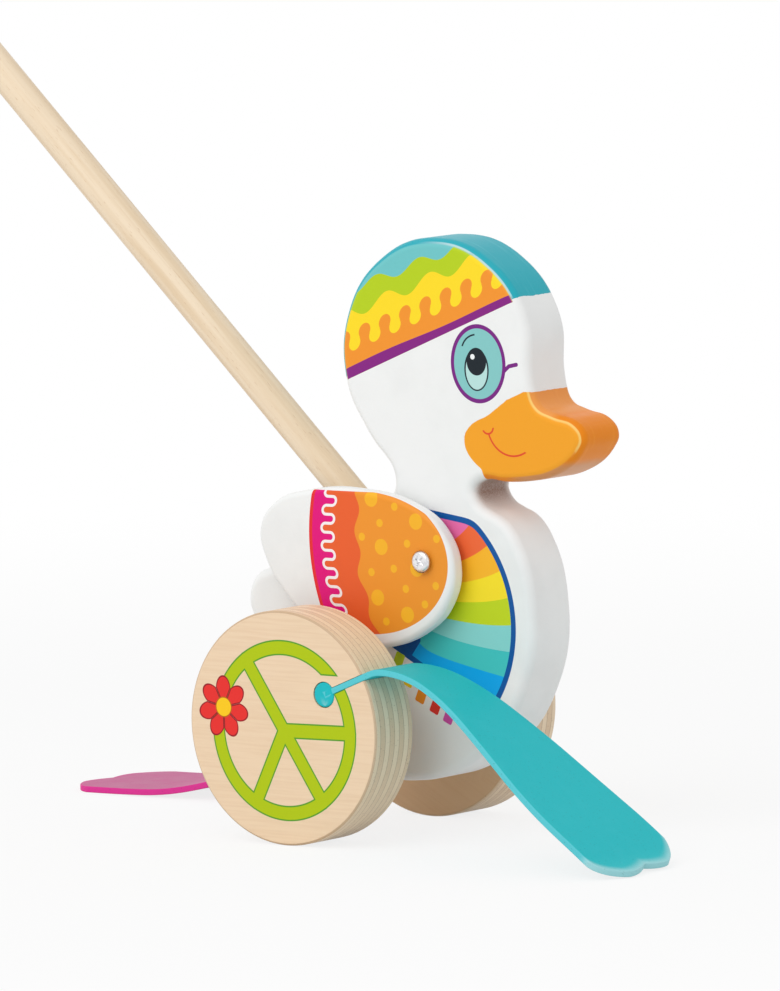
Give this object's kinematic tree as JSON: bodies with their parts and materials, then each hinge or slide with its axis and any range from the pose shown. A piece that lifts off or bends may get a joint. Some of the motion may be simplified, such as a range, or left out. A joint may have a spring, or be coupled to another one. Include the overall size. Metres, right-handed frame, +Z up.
{
  "type": "push-along duck toy",
  "caption": "Push-along wooden duck on a stick: painted plank body, swinging wings, plywood wheels on one axle, and rubber webbed feet held in keyholes in the wheels, which slap the floor.",
  "frame": {"origin": "on the floor, under the centre of the toy's box", "axes": "+X the way the toy is pushed, +Y the duck's left side along the axle, +Z up"},
  "size_m": [0.49, 0.1212, 0.4355],
  "materials": {
    "white_paint": "white satin paint with a coloured print",
    "natural_beech": "clear satin lacquer",
    "birch_ply": "clear satin lacquer with a coloured print",
    "nickel_steel": "bright nickel",
    "turquoise_rubber": "matt moulded rubber",
    "pink_rubber": "matt moulded rubber"
  },
  "bodies": {
    "duck": {"duck_body": "white_paint", "push_stick": "natural_beech", "stick_knob": "natural_beech", "right_wing_screw": "nickel_steel", "left_wing_screw": "nickel_steel", "right_wing_washer": "nickel_steel", "left_wing_washer": "nickel_steel"},
    "wheelset": {"axle": "natural_beech", "right_axle_spacer": "natural_beech", "left_axle_spacer": "natural_beech", "right_wheel": "birch_ply", "left_wheel": "birch_ply", "right_foot_root": "turquoise_rubber", "left_foot_root": "pink_rubber"},
    "right_wing": {"right_wing": "white_paint"},
    "left_wing": {"left_wing": "white_paint"},
    "right_flap": {"right_foot_flap": "turquoise_rubber"},
    "left_flap": {"left_foot_flap": "pink_rubber"}
  },
  "joints": [
    {"name": "wheel_roll", "type": "hinge", "parent": "duck", "child": "wheelset", "pos_m": [0.11318, 0, 0.035], "axis": [0, 1, 0], "continuous": true},
    {"name": "right_wing_swing", "type": "hinge", "parent": "duck", "child": "right_wing", "pos_m": [0.14668, -0.0145, 0.0835], "axis": [0, 1, 0], "range_deg": [-25, 75]},
    {"name": "left_wing_swing", "type": "hinge", "parent": "duck", "child": "left_wing", "pos_m": [0.14668, 0.0145, 0.0835], "axis": [0, 1, 0], "range_deg": [-13, 87]},
    {"name": "right_foot_bend", "type": "hinge", "parent": "wheelset", "child": "right_flap", "pos_m": [0.14617, -0.0353, 0.0528], "axis": [0, 1, 0], "range_deg": [-90, 20], "stiffness_Nm_per_rad": 0.03, "springref_deg": -7.45},
    {"name": "left_foot_bend", "type": "hinge", "parent": "wheelset", "child": "left_flap", "pos_m": [0.0757, 0.0353, 0.03477], "axis": [0, 1, 0], "range_deg": [-45, 65], "stiffness_Nm_per_rad": 0.03, "springref_deg": 8.59}
  ]
}
